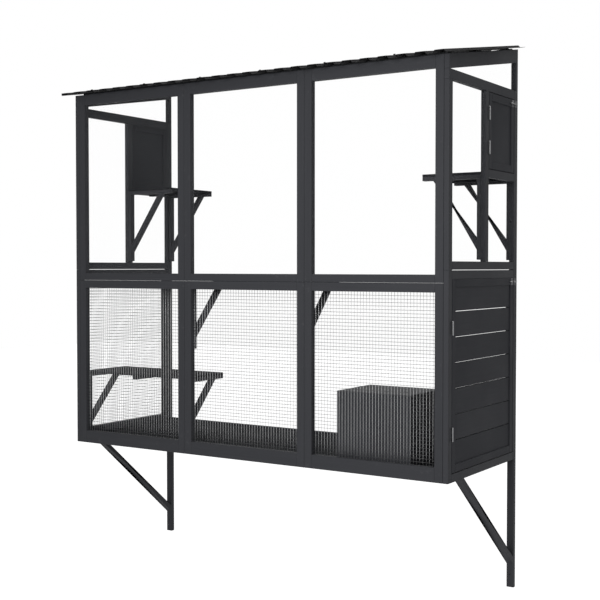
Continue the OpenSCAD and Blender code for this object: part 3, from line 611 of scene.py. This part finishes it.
plate_thickness = 0.0012
fittings = {
    "hinge_fixed_leaves": [(-0.0029, z) for z in (-0.017, 0.0, 0.017)],
    "lower_hinge_leaves": [(0.0029, z) for z in (-0.017, 0.0, 0.017)],
    "upper_hinge_leaves": [(0.0029, z) for z in (-0.017, 0.0, 0.017)],
    "bolt_keepers": [(0.0045, z) for z in (-0.009, 0.009)],
    "lower_bolt_plate": [(y, z) for y in (-0.009, 0.009) for z in (-0.009, 0.009)],
    "upper_bolt_plate": [(y, z) for y in (-0.009, 0.009) for z in (-0.009, 0.009)],
}
by_body = {}
for node, spots in fittings.items():
    places = by_body.setdefault(frame["nodes"][node]["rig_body"], [])
    for solid in solids(node):
        _, y, z = (solid.min(0) + solid.max(0)) / 2
        face_x = solid[:, 0].min() + plate_thickness
        places.extend((face_x, y + dy, z + dz) for dy, dz in spots)
for body, places in by_body.items():
    heads = put_mesh(body + ".screws", *screw_heads(places, (1, 0, 0)))
    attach(heads, body)
    pieces[body + ".screws"] = heads
    print(len(places), "screws on", body)

# %% [markdown]
# ## Helpers for materials
# A material here is a small network: a place on the piece goes in, patterns
# are worked out from it, and they change the colour, the roughness and the
# relief. Three patterns serve several finishes, so each is a node group that
# is built once: the fibres of wood, the unevenness of a coating, and the wear
# of an arris, which also paints its highlight.


# %% Add and join shader nodes
def add_node(tree, kind, values=None, **settings):
    """Add a shader node. values maps a socket's name or number to a socket, to
    which it is linked, or to a plain value, which is set."""
    node = tree.nodes.new("ShaderNode" + kind)
    for key, setting in settings.items():
        setattr(node, key, setting)
    for key, value in (values or {}).items():
        if isinstance(value, bpy.types.NodeSocket):
            tree.links.new(value, node.inputs[key])
        else:
            node.inputs[key].default_value = value
    return node


def blend_colours(tree, share, first, second):
    """Mix of two colours, with all of the second where the share is 1."""
    mix = add_node(tree, "Mix", {0: share, 6: first, 7: second}, data_type="RGBA")
    return mix.outputs[2]


def work_out(tree, operation, *values):
    """Result of a Math node on sockets or numbers."""
    math_node = add_node(tree, "Math", dict(enumerate(values)), operation=operation)
    return math_node.outputs[0]


def spread(tree, value, low, high, to_low=0.0, to_high=1.0):
    """A value between low and high, spread over to_low to to_high."""
    limits = {0: value, 1: low, 2: high, 3: to_low, 4: to_high}
    return add_node(tree, "MapRange", limits).outputs[0]


def new_group(name, inputs, outputs):
    """Empty node group with named sockets: each input maps a name to its kind
    and default. Returns the group, its inputs and a function that ends it."""
    group = bpy.data.node_groups.new(name, "ShaderNodeTree")
    for socket, (kind, default) in inputs.items():
        made = group.interface.new_socket(socket, in_out="INPUT",
                                          socket_type="NodeSocket" + kind)
        if default is not None:
            made.default_value = default
    for socket in outputs:
        group.interface.new_socket(socket, in_out="OUTPUT",
                                   socket_type="NodeSocketFloat")
    entry = group.nodes.new("NodeGroupInput")
    leave = group.nodes.new("NodeGroupOutput")

    def finish(**results):
        for socket, result in results.items():
            group.links.new(result, leave.inputs[socket])

    return group, entry.outputs, finish


def use_group(tree, group, **values):
    """Place a node group with its own values and return its outputs."""
    node = tree.nodes.new("ShaderNodeGroup")
    node.node_tree = group
    for key, value in values.items():
        if isinstance(value, bpy.types.NodeSocket):
            tree.links.new(value, node.inputs[key])
        else:
            node.inputs[key].default_value = value
    return node.outputs


# %% [markdown]
# ### Three patterns
# ** Fibres**: noise stretched along the first number of the place, so that it
# runs as long streaks, with broader bands for the growth rings. **Film**: a
# coating is never quite even. Broad clouds stand for its thickness and fine
# noise for the orange peel that a brush or a spray gun leaves. **Wear and
# highlight**: an arris rubs through in patches and catches light, so the edge
# value is broken up by noise into one mask for rubbed stain and for a painted
# highlight.

# %% Node groups
fibres, into, finish_group = new_group(
    "fibres", {"Place": ("Vector", None), "Fineness": ("Float", 420.0)},
    ["Streak", "Bands"])
lengthwise = add_node(fibres, "Mapping", {"Vector": into["Place"],
                                          "Scale": (0.022, 1.0, 1.0)}).outputs[0]
streak = add_node(fibres, "TexNoise", {"Vector": lengthwise, "Scale": into["Fineness"],
                                       "Detail": 3.0, "Roughness": 0.6})
bands = add_node(fibres, "TexNoise", {"Vector": lengthwise, "Scale": 70.0,
                                      "Detail": 2.0, "Distortion": 0.4})
finish_group(Streak=spread(fibres, streak.outputs["Fac"], 0.3, 0.7),
             Bands=spread(fibres, bands.outputs["Fac"], 0.32, 0.68))

film, into, finish_group = new_group(
    "film", {"Place": ("Vector", None), "Cloud": ("Float", 5.0),
             "Peel": ("Float", 700.0)}, ["Clouds", "Peel"])
clouds = add_node(film, "TexNoise", {"Vector": into["Place"], "Scale": into["Cloud"],
                                     "Detail": 4.0})
peel = add_node(film, "TexNoise", {"Vector": into["Place"], "Scale": into["Peel"],
                                   "Detail": 2.0})
finish_group(Clouds=spread(film, clouds.outputs["Fac"], 0.3, 0.7),
             Peel=peel.outputs["Fac"])

arris_wear_and_highlight, into, finish_group = new_group(
    "arris_wear_and_highlight", {"Place": ("Vector", None), "Edge": ("Float", 0.0),
             "Amount": ("Float", 0.5)}, ["Worn"])
patches = add_node(arris_wear_and_highlight, "TexNoise", {"Vector": into["Place"], "Scale": 38.0,
                                      "Detail": 5.0, "Roughness": 0.65})
lowered = work_out(arris_wear_and_highlight, "MULTIPLY", into["Amount"], 0.4)
threshold = work_out(arris_wear_and_highlight, "SUBTRACT", 0.78, lowered)
full = work_out(arris_wear_and_highlight, "ADD", threshold, 0.12)
broken = spread(arris_wear_and_highlight, patches.outputs["Fac"], threshold, full)
finish_group(Worn=work_out(arris_wear_and_highlight, "MULTIPLY", broken, into["Edge"]))
print("node groups:", [group.name for group in bpy.data.node_groups])


# %% A material with its shader
def new_material(name):
    """Material with a Principled shader and an output. Returns the material,
    its tree, the shader and the Object coordinates."""
    material = bpy.data.materials.new(name)
    material.use_nodes = True
    tree = material.node_tree
    tree.nodes.clear()
    shader = tree.nodes.new("ShaderNodeBsdfPrincipled")
    output = tree.nodes.new("ShaderNodeOutputMaterial")
    tree.links.new(shader.outputs[0], output.inputs["Surface"])
    place = tree.nodes.new("ShaderNodeTexCoord").outputs["Object"]
    return material, tree, shader, place


def set_relief(tree, shader, height, depth, strength):
    """Relief from a height map: depth is the height in metres at the value 1."""
    bump = add_node(tree, "Bump", {"Height": height, "Distance": depth,
                                   "Strength": strength})
    tree.links.new(bump.outputs[0], shader.inputs["Normal"])


def seen_directly(tree):
    """1 for rays of the camera, of reflections and through clear sheets, and 0
    for the rays that carry light."""
    path = tree.nodes.new("ShaderNodeLightPath").outputs
    indirect = work_out(tree, "MAXIMUM", path["Is Glossy Ray"],
                        path["Is Transmission Ray"])
    return work_out(tree, "MAXIMUM", path["Is Camera Ray"], indirect)


def own(tree, name):
    """The piece's own attribute, as a vector or as a number."""
    found = add_node(tree, "Attribute", attribute_name=name)
    return found.outputs["Vector"] if name == "grain" else found.outputs["Fac"]


# %% [markdown]
# ### Charcoal timber
# The case is stained a dark blue grey with a matt film that fills most of the
# grain. Close up the fibres still show as fine streaks, each stick took the
# stain a little differently, and the arrises are rubbed thin and show a
# lighter grey, which is also a painted highlight along each arris. A white
# room would turn dark wood pale wherever it is seen aslant, and a matt film
# does not do that, so the specular level is low. One recipe serves all the
# wood: the frames and the sleeping box, the slightly darker doors, and the
# boards that a cat walks on, which are darkest and dull, their stain darkened
# further as painted shade.


# %% Charcoal timber
def stained_timber(name, dark, light, worn_and_highlit, rough, shine, wear_and_highlight_amount):
    """Stained wood between a dark and a light tone, with arrises painted lighter,
    as rubbed stain and as a painted highlight. The share of the light tone is
    0.45 streak + 0.25 bands + 0.30 stick's tone."""
    material, tree, shader, _ = new_material(name)
    grain, edge, tone = own(tree, "grain"), own(tree, "edge"), own(tree, "tone")
    wood = use_group(tree, fibres, Place=grain)
    coat = use_group(tree, film, Place=grain, Cloud=4.0, Peel=900.0)
    share = work_out(tree, "MULTIPLY", wood["Streak"], 0.45)
    for pattern, part in ((wood["Bands"], 0.25), (tone, 0.30)):
        share = work_out(tree, "ADD", share, work_out(tree, "MULTIPLY", pattern, part))
    stain = blend_colours(tree, share, (*dark, 1), (*light, 1))
    # Arrises: a lighter colour where the stain is rubbed thin, which is also a painted
    # highlight along each arris.
    highlight_and_wear = use_group(tree, arris_wear_and_highlight, Place=grain, Edge=edge, Amount=wear_and_highlight_amount)["Worn"]
    colour = blend_colours(tree, highlight_and_wear, stain, (*worn_and_highlit, 1))
    tree.links.new(colour, shader.inputs["Base Color"])
    matt = spread(tree, coat["Clouds"], 0.0, 1.0, rough - 0.05, rough + 0.06)
    matt = work_out(tree, "ADD", matt, work_out(tree, "MULTIPLY", highlight_and_wear, 0.10))
    tree.links.new(matt, shader.inputs["Roughness"])
    shader.inputs["Specular IOR Level"].default_value = shine
    height = work_out(tree, "ADD", work_out(tree, "MULTIPLY", wood["Streak"], 0.7),
                      work_out(tree, "MULTIPLY", coat["Peel"], 0.3))
    set_relief(tree, shader, height, 0.00012, 0.6)
    return material


frame_stain = stained_timber(
    "frame_stain", (0.032, 0.033, 0.037), (0.041, 0.042, 0.047), (0.064, 0.065, 0.070),
    rough=0.62, shine=0.10, wear_and_highlight_amount=0.45)
door_stain = stained_timber(
    "door_stain", (0.026, 0.027, 0.031), (0.034, 0.035, 0.040), (0.055, 0.056, 0.061),
    rough=0.62, shine=0.07, wear_and_highlight_amount=0.50)
# Boards: a darker stain, made darker still as painted shade.
board_stain_and_shade = stained_timber(
    "board_stain_and_shade", (0.016, 0.0165, 0.019), (0.022, 0.023, 0.026), (0.038, 0.039, 0.043),
    rough=0.76, shine=0.02, wear_and_highlight_amount=0.45)
stains = {
    frame_stain: frames + brackets + roof_timber + sleeping_box + [
        "sleeping_box_left", "rear_posts", "rear_bottom_rail", "left_leg", "right_leg",
        "left_brace", "right_brace"],
    door_stain: doors,
    board_stain_and_shade: shelves + ["floor_boards", "floor_joists"]}
for material, nodes in stains.items():
    for node in nodes:
        pieces[node].data.materials.append(material)
    print(material.name, "on", len(nodes), "nodes")

# %% [markdown]
# ### Clear panes
# The windows are clear acrylic sheets that slide in grooves, so only their
# shine shows. Real refraction through a thin flat sheet moves nothing, so the
# sheet is made by letting most light straight through, with a smooth coat for
# the reflections and a touch of dust that is a little thicker in clouds. The
# pale veil grows with the slant: the sheet turns more opaque aslant, so its
# pale colour shows there as a painted sheen for the reflection that a real
# sheet gives aslant. Layer Weight's Facing value gives the slant, because it
# is the same on both faces. A Fresnel node would take the far face for the
# inside of a thick block and turn it white.

# %% Clear acrylic
pane, tree, shader, place = new_material("clear_acrylic")
coat = use_group(tree, film, Place=place, Cloud=3.0, Peel=60.0)
dust = spread(tree, coat["Clouds"], 0.0, 1.0, 0.002, 0.008)
slant = add_node(tree, "LayerWeight", {"Blend": 0.5}).outputs["Facing"]
# Painted sheen: up to half opaque at a slant, so the pale colour shows there as a
# reflection.
painted_sheen = spread(tree, slant, 0.65, 1.0, 0.0, 0.5)
tree.links.new(work_out(tree, "ADD", dust, painted_sheen), shader.inputs["Alpha"])
smooth = spread(tree, coat["Peel"], 0.3, 0.7, 0.03, 0.06)
tree.links.new(smooth, shader.inputs["Roughness"])
dust_and_sheen_veil = blend_colours(tree, coat["Clouds"], (0.62, 0.65, 0.66, 1), (0.74, 0.76, 0.77, 1))
tree.links.new(dust_and_sheen_veil, shader.inputs["Base Color"])
shader.inputs["IOR"].default_value = 1.49
panes = ["front_window_left", "front_window_middle", "front_window_right",
         "left_side_windows", "right_side_windows"]

# %% [markdown]
# ### Metals
# The net is dipped in hot zinc. Its upright wires keep the bright zinc, and the
# level wires are coloured a dark dull grey as painted shade, for the darker
# floor and ceiling that they face, so that the net shows as bright lines over
# the dark boards and as dark lines over a white ground. Leaves, plates, keepers
# and their screws are black zinc, smooth and a little cloudy, and a lighter
# grey where they stand proud of the wood: bare zinc as a painted highlight on
# the hinge knuckles. Pins and rods have bright zinc plate. The roof sheet and
# its screws are coated black, with dust in the pans, washed into runs.


# %% Zinc on wire, zinc plate and black coating
def metal(name, dull, bright, rough_low, rough_high, cloud, peel, depth, metallic=1.0,
          shine=0.5):
    """Metal whose colour and roughness wander between two values in clouds,
    with the fine relief of its coating. The share of the bright, smooth end is
    0.7 clouds + 0.3 peel. Returns the material with its tree, shader and colour
    for what a finish adds."""
    material, tree, shader, place = new_material(name)
    coat = use_group(tree, film, Place=place, Cloud=cloud, Peel=peel)
    share = work_out(tree, "ADD", work_out(tree, "MULTIPLY", coat["Clouds"], 0.7),
                     work_out(tree, "MULTIPLY", coat["Peel"], 0.3))
    colour = blend_colours(tree, share, (*dull, 1), (*bright, 1))
    tree.links.new(colour, shader.inputs["Base Color"])
    roughness = spread(tree, share, 0.0, 1.0, rough_high, rough_low)
    tree.links.new(roughness, shader.inputs["Roughness"])
    shader.inputs["Metallic"].default_value = metallic
    shader.inputs["Specular IOR Level"].default_value = shine
    set_relief(tree, shader, coat["Peel"], depth, 0.5)
    return material, tree, shader, colour


zinc_wire_painted_shade, tree, shader, colour = metal(
    "zinc_wire_painted_shade", (0.46, 0.465, 0.47), (0.58, 0.585, 0.59), 0.38, 0.58,
    60.0, 1800.0, 0.00004)
# Painted shade: the level wires take a dark grey, and the upright ones keep the zinc.
colour = blend_colours(tree, own(tree, "upright"), (0.080, 0.080, 0.082, 1), colour)
tree.links.new(colour, shader.inputs["Base Color"])

black_zinc, tree, shader, colour = metal(
    "black_zinc", (0.028, 0.029, 0.033), (0.048, 0.049, 0.054), 0.34, 0.48,
    45.0, 2500.0, 0.00002)
place = add_node(tree, "TexCoord").outputs["Object"]
proud = add_node(tree, "SeparateXYZ", {0: place}).outputs[0]
flush_x, proud_x = 0.8771, 0.8788
# Painted highlight: past proud_x, where the fittings stand proud of the wood, the black
# zinc turns the lighter grey of bare zinc, standing for the knuckles' highlight.
highlight_and_wear = spread(tree, proud, flush_x, proud_x)
colour = blend_colours(tree, highlight_and_wear, colour, (0.20, 0.20, 0.205, 1))
tree.links.new(colour, shader.inputs["Base Color"])

bright_zinc = metal("bright_zinc", (0.26, 0.26, 0.26), (0.40, 0.40, 0.41), 0.24, 0.38,
                    45.0, 2500.0, 0.00002)[0]

black_coat, tree, shader, colour = metal(
    "black_coat", (0.010, 0.0102, 0.011), (0.019, 0.0193, 0.0205), 0.60, 0.76,
    6.0, 1400.0, 0.00006, metallic=0.0, shine=0.08)
place = add_node(tree, "TexCoord").outputs["Object"]
down_slope = add_node(tree, "Mapping", {"Vector": place,
                                        "Scale": (1.0, 0.03, 0.03)}).outputs[0]
runs = use_group(tree, film, Place=down_slope, Cloud=22.0, Peel=120.0)
dust = work_out(tree, "MULTIPLY", spread(tree, runs["Clouds"], 0.0, 1.0, 0.5, 1.0),
                spread(tree, own(tree, "pan"), 0.0, 1.0, 0.12, 0.9))
colour = blend_colours(tree, dust, colour, (0.050, 0.050, 0.051, 1))
tree.links.new(colour, shader.inputs["Base Color"])

black_screw = metal("black_screw", (0.010, 0.010, 0.011), (0.022, 0.022, 0.023),
                    0.45, 0.60, 30.0, 2000.0, 0.00002, metallic=0.0, shine=0.2)[0]

plates = ["hinge_fixed_leaves", "lower_hinge_leaves", "upper_hinge_leaves",
          "lower_bolt_plate", "upper_bolt_plate", "bolt_keepers"]
rods = ["hinge_pins", "lower_bolt_rod", "upper_bolt_rod"]
finishes = {pane: panes, black_zinc: plates, bright_zinc: rods,
            black_screw: ["roof_screws"]}
for material, nodes in finishes.items():
    for node in nodes:
        mesh = frame["nodes"][node].data
        mesh.materials.clear()
        mesh.materials.append(material)
    print(material.name, "on", len(nodes), "nodes")
for name, piece in pieces.items():
    if "net" in name:
        piece.data.materials.append(zinc_wire_painted_shade)
    elif name == "roof_sheet":
        piece.data.materials.append(black_coat)
    elif name.endswith(".screws"):
        piece.data.materials.append(black_zinc)
bare = [name for name, piece in pieces.items() if not piece.data.materials]
print("pieces without a finish:", bare)

# %% [markdown]
# ## Studio
# The picture has an even white ground and soft light that is a little stronger
# on the right half of the front. A white world gives the even light, and one
# large lamp in front of that half adds the rest. The camera, shiny metal and
# clear sheets see a plain white world, and the floor far below the legs is
# white too, with the case's faint shadow on it.

# %% World, lamp and floor
world = bpy.data.worlds.new("white_room")
bpy.context.scene.world = world
world.use_nodes = True
tree = world.node_tree
tree.nodes.clear()
light_strength, seen_strength = 0.42, 1.0
strength = spread(tree, seen_directly(tree), 0.0, 1.0, light_strength, seen_strength)
ground = add_node(tree, "Background", {"Color": (1, 1, 1, 1), "Strength": strength})
leave = tree.nodes.new("ShaderNodeOutputWorld")
tree.links.new(ground.outputs[0], leave.inputs["Surface"])


def soft_lamp(name, place, aim, side, watts):
    """Square area lamp of the given side at a place, turned towards aim."""
    data = bpy.data.lights.new(name, "AREA")
    data.shape, data.size, data.energy = "SQUARE", side, watts
    lamp = bpy.data.objects.new(name, data)
    lamp.location = place
    turn = np.array(aim, float) - np.array(place, float)
    lamp.rotation_euler = (math.acos(-turn[2] / np.linalg.norm(turn)), 0.0,
                           math.atan2(turn[1], turn[0]) - math.pi / 2)
    bpy.context.scene.collection.objects.link(lamp)


soft_lamp("key", (0.9, -3.0, 1.0), (0.4, -0.6, 0.3), 1.5, 52)

floor_drop = 0.35
reach, floor_z = 14.0, cad_box[0][2] - floor_drop
floor_points = np.array([[-reach, -reach, floor_z], [reach, -reach, floor_z],
                         [reach, reach, floor_z], [-reach, reach, floor_z]])
floor = put_mesh("floor", floor_points, [[0, 1, 2, 3]])
white, tree, shader, _ = new_material("floor_white")
shader.inputs["Base Color"].default_value = (0.86, 0.86, 0.86, 1)
shader.inputs["Roughness"].default_value = 0.9
shader.inputs["Specular IOR Level"].default_value = 0.1
shader.inputs["Emission Color"].default_value = (1, 1, 1, 1)
glow = 0.72
tree.links.new(work_out(tree, "MULTIPLY", seen_directly(tree), glow),
               shader.inputs["Emission Strength"])
floor.data.materials.append(white)
bpy.context.scene.view_settings.view_transform = "Standard"
